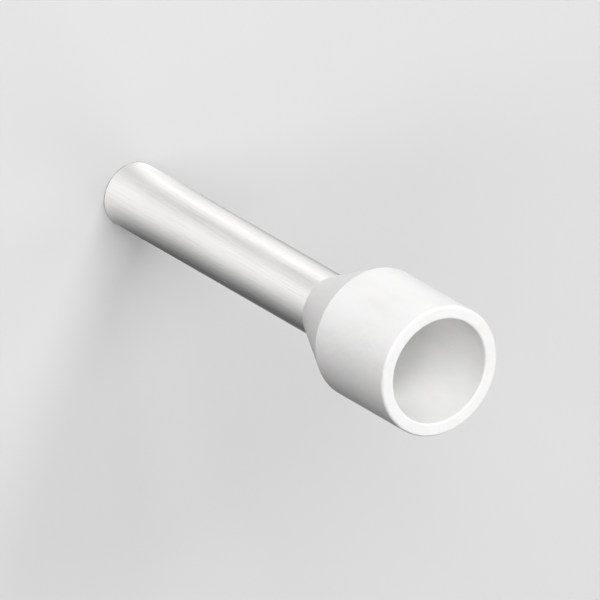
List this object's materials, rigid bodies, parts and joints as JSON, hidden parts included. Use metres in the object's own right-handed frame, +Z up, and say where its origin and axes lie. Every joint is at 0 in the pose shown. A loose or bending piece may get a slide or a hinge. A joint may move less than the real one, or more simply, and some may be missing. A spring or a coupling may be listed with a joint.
{
  "type": "wire ferrule",
  "caption": "Insulated wire-end ferrule: a slim open metal sleeve whose flared end is held in a short conical plastic collar with a wide round mouth.",
  "frame": {"origin": "the middle of the tip, on the surface the ferrule stands on", "axes": "+Z up, which is the ferrule's own axis, from the tip it stands on to the open mouth; it is a body of revolution, so +X and +Y are alike"},
  "size_m": [0.0041, 0.004, 0.0163],
  "materials": {
    "tinned_copper": "bright tin plating over drawn copper, satin, with faint lengthwise draw lines",
    "white_plastic": "moulded polypropylene, satin white"
  },
  "bodies": {
    "root": {"metal_sleeve": "tinned_copper", "insulating_collar": "white_plastic"}
  },
  "joints": []
}
